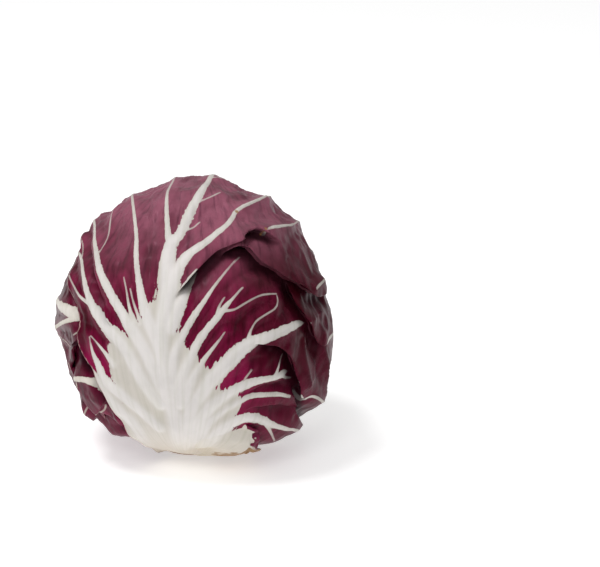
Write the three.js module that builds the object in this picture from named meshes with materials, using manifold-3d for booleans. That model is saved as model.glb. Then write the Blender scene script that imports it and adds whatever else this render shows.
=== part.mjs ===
// A head of round red chicory (radicchio): a cut stalk, the leaves that wrap it layer on layer,
// and the torn stub of one outer leaf. Units are millimetres, +Z is up, and the origin is the
// middle of the stalk's cut face, on which the head rests. The front wrapper leaf faces -Y.
import * as THREE from "three";
import { mergeVertices } from "three/addons/utils/BufferGeometryUtils.js";
import Module from "manifold-3d";

const wasm = await Module();
wasm.setup();

// ---- Driving dimensions ----
const HEAD_RADIUS = 62.0; // half the head's width across the outermost leaf
const HEAD_BOTTOM = 2.4; // height of the outermost leaf's underside at the stalk
const HEAD_TOP = 124; // height of the outermost leaf over the crown
const WAIST_SHARE = 0.485; // how far up the head is widest, as a share of its height
const BELLY_POWER = 2.35; // superellipse power of the lower half, which is fuller than a ball
const CROWN_POWER = 2.05; // and of the upper half
// Where the head isn't round: fuller low on the right, flatter on the left and high at the back right.
const SWELLS = [
  { azimuth: 62, elevation: -32, share: 0.1, spread: 0.16 },
  { azimuth: -105, elevation: 38, share: -0.065, spread: 0.25 },
  { azimuth: -88, elevation: -8, share: -0.055, spread: 0.06 },
  { azimuth: 120, elevation: 57, share: -0.03, spread: 0.08 },
  { azimuth: 164, elevation: 71, share: 0.03, spread: 0.05 },
];
const STALK_CUT_RADIUS = 16; // the stalk's cut face
const STALK_GAP = 0.3; // clearance between the stalk and each leaf base
const REST_HEIGHT = 0.4; // nothing but the stalk reaches lower than this
const GOLDEN_ANGLE = 137.5; // degrees from one leaf to the next up the stalk
const OUTLINE_POINTS = 36; // corners of a leaf's outline
const OUTLINE_RINGS = 3; // rings of the cutter's cap, from its middle to the outline
const RUFFLE = { waves: 6, share: 0.018 }; // the margins run in shallow waves

// The outer wrapping is tight. Further in, the leaves stand apart over the crown.
const OUTER = { count: 8, crownPitch: 1.8, basePitch: 2.6, crownThick: 0.9, baseThick: 1.7, facets: 4 };
const INNER = { count: 9, crownPitch: 5.2, basePitch: 1.7, crownThick: 0.9, baseThick: 1.0, facets: 2 };

// ---- Materials ----
const satin = (color, roughness) => new THREE.MeshStandardMaterial({ color, roughness, metalness: 0 });
const materials = {
  wrapper: satin(0x6a1a36, 0.42),
  inner: satin(0x8a3a58, 0.5),
  stalk: satin(0xd8cdb6, 0.6),
  stub: satin(0xddd6c8, 0.5),
};

// ---- Helpers ----
const degrees = THREE.MathUtils.degToRad;

// A direction from azimuth (0 is the front, -Y, and 90 is the right, +X) and elevation, in degrees.
function heading(azimuth, elevation) {
  const level = Math.cos(degrees(elevation));
  return new THREE.Vector3(
    Math.sin(degrees(azimuth)) * level,
    -Math.cos(degrees(azimuth)) * level,
    Math.sin(degrees(elevation)),
  );
}

// A closed geometry as a solid that can be cut and joined.
function toSolid(geometry) {
  const bare = new THREE.BufferGeometry();
  bare.setAttribute("position", geometry.getAttribute("position"));
  if (geometry.index) bare.setIndex(geometry.index);
  const merged = mergeVertices(bare, 1e-4);
  return new wasm.Manifold(
    new wasm.Mesh({
      numProp: 3,
      vertProperties: new Float32Array(merged.getAttribute("position").array),
      triVerts: new Uint32Array(merged.index.array),
    }),
  );
}

// A solid as a named mesh.
function toMesh(name, solid, material) {
  const made = solid.getMesh();
  const geometry = new THREE.BufferGeometry();
  geometry.setAttribute("position", new THREE.BufferAttribute(new Float32Array(made.vertProperties), 3));
  geometry.setIndex(new THREE.BufferAttribute(new Uint32Array(made.triVerts), 1));
  geometry.computeVertexNormals();
  const mesh = new THREE.Mesh(geometry, material);
  mesh.name = name;
  return mesh;
}

// ---- The head's form ----
// Height of the widest ring of a layer that runs from bottom to top.
const waist = (bottom, top) => bottom + (top - bottom) * WAIST_SHARE;

// A soft swelling, or a flattening if its share is negative, around one heading.
function swell(direction, { azimuth, elevation, share, spread }) {
  return share * Math.exp((direction.dot(heading(azimuth, elevation)) - 1) / spread);
}

// Where a layer's skin lies in a unit direction from the middle of its widest ring.
function skinPoint(direction, bottom, top) {
  const size = (top - bottom) / (HEAD_TOP - HEAD_BOTTOM);
  const middle = waist(bottom, top);
  const level = Math.hypot(direction.x, direction.y);
  const below = direction.z < 0;
  const power = below ? BELLY_POWER : CROWN_POWER;
  const height = below ? middle - bottom : top - middle;
  const turn = Math.atan2(direction.x, -direction.y);
  const lobes = 1 + 0.014 * level ** 2 * Math.sin(3 * turn + 0.7) + 0.008 * level ** 2 * Math.sin(5 * turn + 2);
  const across = level / (HEAD_RADIUS * size * lobes);
  const upright = Math.abs(direction.z) / height;
  const round = (across ** power + upright ** power) ** (-1 / power);
  const reach = SWELLS.reduce((far, place) => far * (1 + swell(direction, place)), round);
  return direction.clone().multiplyScalar(reach).add(new THREE.Vector3(0, 0, middle));
}

// The closed skin of a layer, as a faceted ball. Skins of the same facets nest face to face.
function skin(bottom, top, facets) {
  const ball = new THREE.IcosahedronGeometry(1, facets);
  const position = ball.getAttribute("position");
  for (let i = 0; i < position.count; i++) {
    const direction = new THREE.Vector3().fromBufferAttribute(position, i).normalize();
    const point = skinPoint(direction, bottom, top);
    position.setXYZ(i, point.x, point.y, point.z);
  }
  return toSolid(ball);
}

// ---- Leaf outlines ----
// A smooth closed outline through [bearing, reach] pairs in degrees, seen from outside the leaf:
// bearing 0 is to its right, 90 towards its tip and 270 towards the stalk.
function outlineReach(pairs, bearing) {
  const curve = new THREE.CatmullRomCurve3(
    pairs.map(([at, reach]) => {
      const turn = degrees(at);
      return new THREE.Vector3(Math.cos(turn) * reach, Math.sin(turn) * reach, 0);
    }),
    true,
    "centripetal",
  );
  const samples = curve.getPoints(pairs.length * 12);
  let best = samples[0];
  let bestGap = Infinity;
  for (const sample of samples) {
    const turn = Math.atan2(sample.y, sample.x) - degrees(bearing);
    const gap = Math.abs(Math.atan2(Math.sin(turn), Math.cos(turn)));
    if (gap < bestGap) [best, bestGap] = [sample, gap];
  }
  return Math.hypot(best.x, best.y);
}

// A solid cone from the head's middle out past its skin, with the leaf's outline as its section.
function outlineCutter(apex, centre, pairs) {
  const up = new THREE.Vector3(0, 0, 1);
  const right = new THREE.Vector3().crossVectors(centre, up).normalize().negate();
  const tipward = new THREE.Vector3().crossVectors(centre, right).normalize();
  if (tipward.z < 0) tipward.negate();
  right.crossVectors(tipward, centre).normalize();
  const vertices = [apex.clone(), centre.clone().multiplyScalar(2.2 * HEAD_RADIUS).add(apex)];
  for (let ring = 1; ring <= OUTLINE_RINGS; ring++) {
    for (let i = 0; i < OUTLINE_POINTS; i++) {
      const bearing = (360 * i) / OUTLINE_POINTS;
      const ruffle = 1 + RUFFLE.share * Math.sin(degrees(RUFFLE.waves * bearing));
      const reach = degrees(outlineReach(pairs, bearing) * ruffle * (ring / OUTLINE_RINGS));
      const along = right
        .clone()
        .multiplyScalar(Math.cos(degrees(bearing)))
        .addScaledVector(tipward, Math.sin(degrees(bearing)));
      const direction = centre.clone().multiplyScalar(Math.cos(reach)).addScaledVector(along, Math.sin(reach));
      vertices.push(direction.multiplyScalar(2.2 * HEAD_RADIUS).add(apex));
    }
  }
  const at = (ring, i) => 2 + (ring - 1) * OUTLINE_POINTS + (i % OUTLINE_POINTS);
  const faces = [];
  for (let i = 0; i < OUTLINE_POINTS; i++) {
    faces.push(1, at(1, i), at(1, i + 1));
    for (let ring = 1; ring < OUTLINE_RINGS; ring++) {
      faces.push(at(ring, i), at(ring + 1, i), at(ring + 1, i + 1));
      faces.push(at(ring, i), at(ring + 1, i + 1), at(ring, i + 1));
    }
    faces.push(0, at(OUTLINE_RINGS, i + 1), at(OUTLINE_RINGS, i));
  }
  const geometry = new THREE.BufferGeometry().setFromPoints(vertices);
  geometry.setIndex(faces);
  return toSolid(geometry);
}

// ---- The stalk ----
// It is cut flat below, and narrows to the growing point inside the head.
const stalkProfile = [
  [0, 0],
  [STALK_CUT_RADIUS, 0],
  [STALK_CUT_RADIUS + 0.6, 2],
  [STALK_CUT_RADIUS - 1, 9],
  [11.5, 20],
  [8, 31],
  [4.5, 38.5],
  [0, 40.5],
];

function latheStalk(grow) {
  const profile = stalkProfile.map(([radius, height], i) => {
    const base = i < 2 ? -grow : 0;
    const tip = i === stalkProfile.length - 1 ? grow : 0;
    return new THREE.Vector2(radius > 0 ? radius + grow : 0, height + base + tip);
  });
  return toSolid(new THREE.LatheGeometry(profile, 20).rotateX(Math.PI / 2));
}

const stalkRoom = latheStalk(STALK_GAP);

// ---- Leaves ----
// Layers count inwards from 0, the outermost. Each gives the bottom and top of its outer skin.
function layerSpan(layer) {
  const outer = Math.min(layer, OUTER.count);
  const inner = Math.max(layer - OUTER.count, 0);
  return {
    bottom: HEAD_BOTTOM + outer * OUTER.basePitch + inner * INNER.basePitch,
    top: HEAD_TOP - outer * OUTER.crownPitch - inner * INNER.crownPitch,
  };
}

// One leaf: the part of its layer's shell that its outline covers, cut clear of the stalk.
function leaf(name, layer, azimuth, elevation, outline, material, wrapping) {
  const { bottom, top } = layerSpan(layer);
  const outside = skin(bottom, top, wrapping.facets);
  const inside = skin(bottom + wrapping.baseThick, top - wrapping.crownThick, wrapping.facets);
  const apex = new THREE.Vector3(0, 0, waist(bottom, top));
  const cutter = outlineCutter(apex, heading(azimuth, elevation), outline);
  const blade = outside.subtract(inside).intersect(cutter).subtract(stalkRoom);
  return toMesh(name, largestBody(blade), material);
}

// The biggest of a solid's bodies, without the chips that a cut leaves beside the stalk.
function largestBody(solid) {
  return solid.decompose().reduce((best, body) => (body.volume() > best.volume() ? body : best));
}

// Wrapper leaves, outermost first: name, azimuth, elevation, outline. Each outline runs past the
// stalk at 270 and over the crown at 90. The left one is short low at the front, where the leaf
// under it comes out.
const wrappers = [
  ["front_wrapper_leaf", 0, 18,
    [[0, 110], [30, 112], [60, 108], [90, 108], [120, 102], [134, 88], [152, 74], [172, 60.7], [185, 53.4],
      [194, 57], [210, 52.6], [230, 59.4], [245, 69.5], [254, 84], [262, 100], [270, 114], [280, 106],
      [300, 101], [330, 106]]],
  ["right_wrapper_leaf", 137, 6,
    [[0, 90], [30, 94], [60, 96], [90, 104], [120, 96], [150, 92], [180, 88], [215, 78], [245, 86],
      [270, 104], [295, 84], [330, 80]]],
  ["left_wrapper_leaf", -84, 4,
    [[2, 33], [10, 48], [30, 80], [60, 92], [90, 100], [120, 98], [150, 92], [180, 86], [215, 78],
      [245, 84], [262, 98], [270, 100], [284, 54], [297, 34], [312, 29], [330, 27], [345, 28.5]]],
  ["left_front_leaf", -42, 2,
    [[0, 72], [30, 80], [60, 90], [90, 98], [120, 94], [150, 86], [180, 78], [215, 72], [245, 82],
      [270, 102], [295, 82], [330, 70]]],
  ["right_front_leaf", 55, 6,
    [[0, 84], [30, 88], [60, 96], [90, 106], [120, 96], [150, 86], [180, 80], [215, 74], [245, 82],
      [270, 104], [295, 82], [330, 78]]],
  ["back_leaf", 190, 8,
    [[0, 82], [30, 90], [60, 98], [90, 108], [120, 98], [150, 90], [180, 82], [215, 74], [245, 84],
      [270, 106], [295, 84], [330, 74]]],
  ["back_right_leaf", 104, 8,
    [[0, 80], [30, 86], [60, 94], [90, 104], [120, 96], [150, 88], [180, 80], [215, 72], [245, 84],
      [270, 106], [295, 84], [330, 72]]],
  ["back_left_leaf", -125, 8,
    [[0, 80], [30, 86], [60, 94], [90, 104], [120, 96], [150, 88], [180, 80], [215, 72], [245, 84],
      [270, 106], [295, 84], [330, 72]]],
];

// Inner leaves share one outline and follow each other round by the golden angle.
const INNER_ELEVATION = 10;
const innerOutline = [[0, 82], [45, 92], [90, 104], [135, 92], [180, 82], [225, 74], [270, 112], [315, 74]];

// The stub left at the base where an old outer leaf was torn off. It lies outside the front leaf.
const STUB = { azimuth: 16, elevation: -58, lift: 2.0, thick: 1.6 };
const stubOutline = [[0, 18.2], [24, 18.6], [45, 22], [62, 31], [84, 30.3], [113, 27], [139, 19], [170, 11],
  [202, 12], [235, 18], [270, 34], [310, 24], [342, 19.5]];

function tornStub() {
  const outside = skin(HEAD_BOTTOM - STUB.lift, HEAD_TOP + STUB.lift, OUTER.facets);
  const inside = skin(HEAD_BOTTOM - STUB.lift + STUB.thick, HEAD_TOP + STUB.lift - STUB.thick, OUTER.facets);
  const apex = new THREE.Vector3(0, 0, waist(HEAD_BOTTOM, HEAD_TOP));
  const cutter = outlineCutter(apex, heading(STUB.azimuth, STUB.elevation), stubOutline);
  const ground = toSolid(new THREE.BoxGeometry(200, 200, 20).translate(0, 0, REST_HEIGHT - 10));
  const stub = outside.subtract(inside).intersect(cutter).subtract(stalkRoom).subtract(ground);
  return toMesh("torn_leaf_stub", largestBody(stub), materials.stub);
}

// The heart: the smallest leaves, still closed over the growing point as one bud.
function heartBud() {
  const { bottom, top } = layerSpan(OUTER.count + INNER.count);
  const bud = skin(bottom, top, INNER.facets).subtract(stalkRoom);
  return toMesh("heart_bud", largestBody(bud), materials.inner);
}

// ---- Assembly ----
const head = new THREE.Group();
head.add(toMesh("stalk", latheStalk(0), materials.stalk));
head.add(tornStub());
wrappers.forEach(([name, azimuth, elevation, outline], layer) => {
  head.add(leaf(name, layer, azimuth, elevation, outline, materials.wrapper, OUTER));
});
for (let i = 0; i < INNER.count; i++) {
  const azimuth = GOLDEN_ANGLE * (i + OUTER.count);
  const name = `inner_leaf_${i + 1}`;
  head.add(leaf(name, OUTER.count + i, azimuth, INNER_ELEVATION, innerOutline, materials.inner, INNER));
}
head.add(heartBud());

export default head;
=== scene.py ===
import bpy
import math
import numpy as np
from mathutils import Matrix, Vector


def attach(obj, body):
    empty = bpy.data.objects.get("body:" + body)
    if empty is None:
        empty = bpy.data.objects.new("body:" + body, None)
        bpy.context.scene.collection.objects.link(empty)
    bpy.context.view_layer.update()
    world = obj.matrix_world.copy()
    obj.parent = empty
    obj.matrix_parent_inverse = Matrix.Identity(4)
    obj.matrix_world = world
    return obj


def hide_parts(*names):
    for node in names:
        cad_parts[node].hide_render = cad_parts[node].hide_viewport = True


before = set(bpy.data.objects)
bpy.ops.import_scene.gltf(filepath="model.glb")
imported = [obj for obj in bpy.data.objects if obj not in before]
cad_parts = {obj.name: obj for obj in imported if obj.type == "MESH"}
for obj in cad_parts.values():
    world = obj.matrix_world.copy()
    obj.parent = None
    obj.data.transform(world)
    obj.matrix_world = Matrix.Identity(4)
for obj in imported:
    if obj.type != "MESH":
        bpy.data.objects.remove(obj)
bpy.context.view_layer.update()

# ==== The stalk ====
# The short stem that all the leaves grow from, cut through just under the lowest leaf. The head
# stands on the cut, which has dried to a tan skin, browner round the rim where the knife dragged.
MM = 0.001
GROUND = 0.0
STALK_TURNS = 96
# Radius and height of the stalk from the middle of the cut, out over its rim and up to the tip.
STALK_PROFILE = [(0.0, 0.15), (5, 0.12), (9, 0.1), (12.5, 0.05), (14.6, 0.0), (15.6, 0.15), (16.2, 0.7),
                 (16.4, 1.8), (16.2, 3.2), (15.4, 6), (14.6, 9), (13, 14), (11.3, 20), (9.4, 26), (7.8, 31),
                 (5.6, 36), (3.2, 39), (0, 40.3)]


def turned(angle):
    """Cosine and sine of an angle in degrees."""
    return math.cos(math.radians(angle)), math.sin(math.radians(angle))


def unit(vectors):
    """Rows of vectors, each made one long."""
    return vectors / np.linalg.norm(vectors, axis=-1, keepdims=True)


def grain(points, length, seed, waves=12):
    """Smooth unevenness of about the given wavelength in mm, mostly between -1 and 1."""
    chance = np.random.default_rng(seed)
    way = unit(chance.normal(size=(waves, 3)))
    way *= 2 * math.pi / length * chance.uniform(0.7, 1.5, (waves, 1))
    start = chance.uniform(0, 2 * math.pi, waves)
    return np.cos(points @ way.T + start).sum(-1) / math.sqrt(waves) * 0.9


def soft_step(low, high, value):
    """0 below low, 1 above high, and a smooth rise between."""
    share = np.clip((value - low) / (high - low), 0, 1)
    return share * share * (3 - 2 * share)


def piece(name, points, faces, node, slot, material, marks=None):
    """A closed mesh from points in mm, which stands for the CAD node and rides on the head."""
    mesh = bpy.data.meshes.new(name)
    mesh.from_pydata((points * MM).tolist(), [], faces)
    mesh.polygons.foreach_set("use_smooth", [True] * len(mesh.polygons))
    for mark, values in (marks or {}).items():
        kind, field = ("FLOAT_VECTOR", "vector") if values.ndim == 2 else ("FLOAT", "value")
        layer = mesh.attributes.new(mark, kind, "POINT")
        layer.data.foreach_set(field, values.astype(np.float32).ravel())
    mesh.materials.append(material)
    mesh.update()
    made = bpy.data.objects.new(name, mesh)
    bpy.context.scene.collection.objects.link(made)
    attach(made, "root")
    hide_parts(node)


def feed(value, socket):
    """Joins an output to an input of the same node tree."""
    socket.id_data.links.new(value, socket)


def put(tree, kind, plugs=None, **settings):
    """A shader node. plugs maps its sockets to values, or to outputs that feed them."""
    node = tree.nodes.new("ShaderNode" + kind)
    for setting, value in settings.items():
        setattr(node, setting, value)
    for name, value in (plugs or {}).items():
        if isinstance(value, bpy.types.NodeSocket):
            feed(value, node.inputs[name])
        else:
            node.inputs[name].default_value = value
    return node


def maths(work, *values):
    """The output of one Math node. The first of its values is an output, as in all that follow."""
    return put(values[0].id_data, "Math", dict(enumerate(values)), operation=work).outputs[0]


def plus(first, second):
    return maths("ADD", first, second)


def times(first, second):
    return maths("MULTIPLY", first, second)


def ramp(value, low, high, start=0.0, end=1.0):
    """A smooth rise from start to end as the value goes from low to high."""
    plugs = {"Value": value, "From Min": low, "From Max": high, "To Min": start, "To Max": end}
    return put(value.id_data, "MapRange", plugs, interpolation_type="SMOOTHSTEP").outputs["Result"]


def split(place):
    return put(place.id_data, "SeparateXYZ", {0: place}).outputs


def stretched(place, scale):
    """A place scaled by its own amount along each axis."""
    return put(place.id_data, "VectorMath", {0: place, 1: scale}, operation="MULTIPLY").outputs[0]


def noise(place, scale, detail, rough=0.5):
    """Cloudy unevenness from 0 to 1."""
    plugs = {"Vector": place, "Scale": scale, "Detail": detail, "Roughness": rough}
    return put(place.id_data, "TexNoise", plugs).outputs["Fac"]


def blended(share, first, second, way="MIX"):
    """One colour over another by a share."""
    plugs = {0: share, 6: first, 7: second}
    return put(share.id_data, "Mix", plugs, data_type="RGBA", blend_type=way).outputs[2]


def finish(name, **settings):
    """A new material with its one shader; settings go on the shader's own sockets."""
    material = bpy.data.materials.new(name)
    material.use_nodes = True
    shader = material.node_tree.nodes["Principled BSDF"]
    for socket, value in settings.items():
        shader.inputs[socket.replace("_", " ")].default_value = value
    return material, material.node_tree, shader


def tone(*levels):
    """A colour given on a 0 to 255 scale, as the shader's linear value."""
    shares = [level / 255 for level in levels]
    return (*(s / 12.92 if s <= 0.04045 else ((s + 0.055) / 1.055) ** 2.4 for s in shares), 1.0)


def stalk_mesh():
    """A turned stem, its side slightly fluted and its cut slightly uneven."""
    turns = STALK_TURNS
    ring = [turned(360 * step / turns) for step in range(turns)]
    points = np.array([(radius * across, radius * along, height) for radius, height in STALK_PROFILE[1:-1]
                       for across, along in ring])
    level = points[:, 2]
    side = soft_step(0.2, 3, level)
    worn = (1 + 0.02 * grain(points * [1, 1, 0.2], 9, 11) * side
            + 0.012 * grain(points * [1, 1, 0.1], 2.6, 12) * side)
    points[:, :2] *= worn[:, None]
    cut = 1 - soft_step(0, 0.4, level)
    points[:, 2] += 0.1 * np.abs(grain(points, 5, 13)) * cut
    last, middle = len(points) - turns, len(points)
    points = np.vstack([points, [[0, 0, STALK_PROFILE[0][1]], [0, 0, STALK_PROFILE[-1][1]]]])
    faces = []
    for low in range(0, last, turns):
        for step in range(turns):
            after = (step + 1) % turns
            faces.append((low + step, low + after, low + turns + after, low + turns + step))
    for step in range(turns):
        after = (step + 1) % turns
        faces.append((middle, after, step))
        faces.append((middle + 1, last + step, last + after))
    return points, faces


stalk_finish, tree, shader = finish("cut_stalk_flesh", Roughness=0.62)
place = put(tree, "TexCoord").outputs["Object"]
across, along, level = split(place)
radius = maths("SQRT", plus(maths("POWER", across, 2), maths("POWER", along, 2)))
blotch = noise(place, 160, 5, 0.6)
drag = noise(stretched(place, (0.12, 1, 1)), 1400, 3)
under = ramp(level, 0.0006, 0.002, 1, 0)
rim = ramp(plus(radius, times(blotch, 0.004)), 0.0135, 0.0178)
ring = ramp(maths("ABSOLUTE", maths("SUBTRACT", radius, 0.0088)), 0, 0.0014, 0.5, 0)
flesh = blended(blotch, tone(222, 208, 176), tone(196, 168, 124))
flesh = blended(ring, flesh, tone(150, 112, 72))
flesh = blended(times(rim, 0.85), flesh, tone(126, 78, 42))
feed(blended(under, tone(224, 214, 196), flesh), shader.inputs["Base Color"])
rough = put(tree, "Bump", {"Height": plus(drag, blotch), "Strength": 0.5, "Distance": 0.0004})
feed(rough.outputs[0], shader.inputs["Normal"])
piece("stalk_cut", *stalk_mesh(), "stalk", "stalk_flesh", stalk_finish)

# ==== The heart and the inner leaves ====
# The middle of the head: small crisp leaves with broad white ribs and pale red blades, growing one
# after another round the stalk and folded over each other, down to a closed bud at its tip.
HEAD_BOTTOM = 2.4
HEAD_TOP = 124.0
HEAD_RADIUS = 62.0
WAIST_SHARE = 0.485  # how far up the head it is widest
BELLY_POWER = 2.35  # how square the head is below its waist, 2 being round
CROWN_POWER = 2.05
WAIST = HEAD_BOTTOM + (HEAD_TOP - HEAD_BOTTOM) * WAIST_SHARE
MIDDLE = np.array([0, 0, WAIST])
LOBES = [(3, 0.014, 0.7), (5, 0.008, 2)]  # waves round the head, their share of its radius, their start
# Azimuth, elevation, share and spread of the places where the head isn't round.
SWELLS = [(62, -32, 0.1, 0.16), (-105, 38, -0.065, 0.25), (-88, -8, -0.055, 0.06), (120, 57, -0.03, 0.08),
          (164, 71, 0.03, 0.05)]


def heading(azimuth, elevation):
    """A direction: azimuth 0 is the front and 90 the right, elevation 90 is up."""
    level, height = turned(elevation)
    forward, right = turned(azimuth)
    return np.array([right * level, -forward * level, height])


def head_skin(directions):
    """How far the head's outside is from its middle, in mm, in each direction."""
    level = np.hypot(directions[..., 0], directions[..., 1])
    turn = np.arctan2(directions[..., 0], -directions[..., 1])
    below = directions[..., 2] < 0
    power = np.where(below, BELLY_POWER, CROWN_POWER)
    height = np.where(below, WAIST - HEAD_BOTTOM, HEAD_TOP - WAIST)
    lobes = 1 + level ** 2 * sum(share * np.sin(waves * turn + start) for waves, share, start in LOBES)
    across = level / (HEAD_RADIUS * lobes)
    reach = (across ** power + (np.abs(directions[..., 2]) / height) ** power) ** (-1 / power)
    for azimuth, elevation, share, spread in SWELLS:
        reach = reach * (1 + share * np.exp((directions @ heading(azimuth, elevation) - 1) / spread))
    return reach


class Leaf:
    """A leaf laid over the head: the direction of its middle, and its outline as bearing and reach
    in degrees from there. Bearing 0 is to its right from outside, 90 to its tip, 270 to the stalk."""

    TURN = np.arange(0, 360, 0.5)

    def __init__(self, azimuth, elevation, outline, ruffle, seed):
        self.middle = heading(azimuth, elevation)
        self.right = np.cross([0, 0, 1], self.middle)
        self.right /= np.linalg.norm(self.right)
        self.tipward = np.cross(self.middle, self.right)
        self.elevation = elevation
        at, reach = np.array(outline, float).T
        fine = np.interp(self.TURN, at, reach, period=360)
        pull = np.exp(-0.5 * (np.arange(-30, 31) / 6) ** 2)
        pull /= pull.sum()
        self.reach = sum(np.roll(fine, step) * weight for step, weight in zip(range(-30, 31), pull))
        chance = np.random.default_rng(seed)
        for waves in range(4, 34):
            size = ruffle * chance.uniform(0.3, 1) / (1 + (waves / 11) ** 2)
            start = chance.uniform(0, 2 * math.pi)
            self.reach = self.reach + size * np.cos(waves * np.radians(self.TURN) + start)

    def outline(self, bearing):
        return np.interp(bearing, self.TURN, self.reach, period=360)

    def toward(self, reach, bearing):
        """Directions from the head's middle to places on the leaf, both in degrees."""
        reach, bearing = np.radians(reach), np.radians(bearing)
        along = np.cos(bearing)[..., None] * self.right + np.sin(bearing)[..., None] * self.tipward
        return np.cos(reach)[..., None] * self.middle + np.sin(reach)[..., None] * along

    def inside(self, directions):
        """How far inside the outline directions lie, in degrees; negative is outside."""
        reach = np.degrees(np.arccos(np.clip(directions @ self.middle, -1, 1)))
        bearing = np.degrees(np.arctan2(directions @ self.tipward, directions @ self.right))
        return self.outline(bearing % 360) - reach

    def margin(self, directions):
        """How far in from its margin places lie, in mm."""
        return self.inside(directions) * math.pi / 180 * HEAD_RADIUS

    def spread(self, cells, squeeze=0.0):
        """Directions to a square grid spread over the leaf, drawn in to its middle by squeeze."""
        even = np.linspace(-1, 1, cells + 1)
        x, y = np.meshgrid(even, even)
        wide = np.abs(x) > np.abs(y)
        out = np.where(wide, x, y)
        quarter = 45 * np.where(wide, y, x) / np.where(out == 0, 1, out)
        bearing = np.where(wide, quarter, 90 - quarter) + np.where(out < 0, 180, 0)
        out, bearing = np.abs(out), bearing % 360
        return self.toward(self.outline(bearing) * out * (1 - squeeze + squeeze * out ** 2), bearing)


def smooth_line(corners, step):
    """A smooth run of points on the head's ball through corners on it, about step mm apart. Extra
    columns follow along."""
    corners = np.array(corners, float)
    padded = np.vstack([2 * corners[0] - corners[1], corners, 2 * corners[-1] - corners[-2]])
    run = [corners[:1]]
    for i in range(1, len(padded) - 2):
        a, b, c, d = padded[i - 1:i + 3]
        count = max(2, int(np.linalg.norm((c - b)[:3]) / step) + 1)
        t = (np.arange(1, count + 1) / count)[:, None]
        run.append(0.5 * (2 * b + (c - a) * t + (2 * a - 5 * b + 4 * c - d) * t ** 2
                          + (3 * b - a - 3 * c + d) * t ** 3))
    line = np.vstack(run)
    line[:, :3] *= HEAD_RADIUS / np.linalg.norm(line[:, :3], axis=1)[:, None]
    return line


def nearest(spots, line):
    """For each spot: which stretch of a line is nearest, the share along it, the gap in mm, and how
    far along the line that is. The line's length comes last."""
    start, step = line[:-1, :3], np.diff(line[:, :3], axis=0)
    length = (step ** 2).sum(1) + 1e-9
    best_gap = np.full(len(spots), 1e9)
    best_part = np.zeros(len(spots), int)
    best_share = np.zeros(len(spots))
    for part in range(len(start)):
        share = np.clip((spots - start[part]) @ step[part] / length[part], 0, 1)
        gap = np.linalg.norm(spots - start[part] - share[:, None] * step[part], axis=1)
        closer = gap < best_gap
        best_gap[closer] = gap[closer]
        best_part[closer] = part
        best_share[closer] = share[closer]
    far = np.concatenate([[0], np.cumsum(np.linalg.norm(step, axis=1))])
    return best_part, best_share, best_gap, far[best_part] + best_share * np.diff(far)[best_part], far[-1]


RIB_REACH = 13.0  # mm past a rib's edge that its blade still takes its colour and sag from
RIDGE_WIDTH = 3.2  # half width in mm past which a rib's ridge grows no broader
FINEST_RIB = 0.4  # half width in mm of the thinnest ribs, but for their tips
RUN_APART = 37  # mm between the runs of one rib and the next, so that their edges fray differently


def rib_marks(directions, ribs, plates=()):
    """What the ribs do to each place of a leaf: the gap in mm to the nearest rib's edge (negative in
    the rib), the run along it, its half width, and how high the ridge of rib flesh stands. Plates
    are broad flat stretches of rib flesh with no ridge of their own."""
    spots = directions.reshape(-1, 3) * HEAD_RADIUS
    gap = np.full(len(spots), RIB_REACH)
    run, half, ridge = np.zeros((3, len(spots)))
    for number, rib in enumerate([*ribs, *plates]):
        middle = rib[:, :3].mean(0)
        size = np.linalg.norm(rib[:, :3] - middle, axis=1).max() + RIB_REACH + rib[:, 3].max()
        near = np.flatnonzero(((spots - middle) ** 2).sum(1) < size ** 2)
        if not len(near):
            continue
        part, share, distance, here, _ = nearest(spots[near], rib)
        width = rib[part, 3] * (1 - share) + rib[part + 1, 3] * share
        width = np.maximum(width, np.minimum(FINEST_RIB, 2 * width))
        closer = distance - width < gap[near]
        gap[near[closer]] = (distance - width)[closer]
        run[near[closer]] = (here + RUN_APART * number)[closer]
        half[near[closer]] = width[closer]
        if number < len(ribs):
            stout = np.minimum(width, RIDGE_WIDTH)
            rise = (0.14 + 0.34 * stout) * np.exp(-(distance / (0.85 * stout + 0.35)) ** 2)
            ridge[near] = (ridge[near] ** 3 + rise ** 3) ** (1 / 3)
    return [mark.reshape(directions.shape[:-1]) for mark in (gap, run, half, ridge)]


# How far up a hidden leaf's midrib is, as a share of it, and its half width there in mm.
MIDRIB = [(0, 8.5), (0.14, 7), (0.28, 4.8), (0.42, 3.2), (0.58, 1.9), (0.74, 1.2), (0.9, 0.8), (1, 0.5)]
MIDRIB_BEND = 2.0  # degrees
SIDE_RIB_ANGLE = 74  # degrees from the midrib, for the lowest pair
SIDE_RIB_CURL = 44  # degrees that each turns back towards the tip
SIDE_RIB_PARTS = 6


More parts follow.
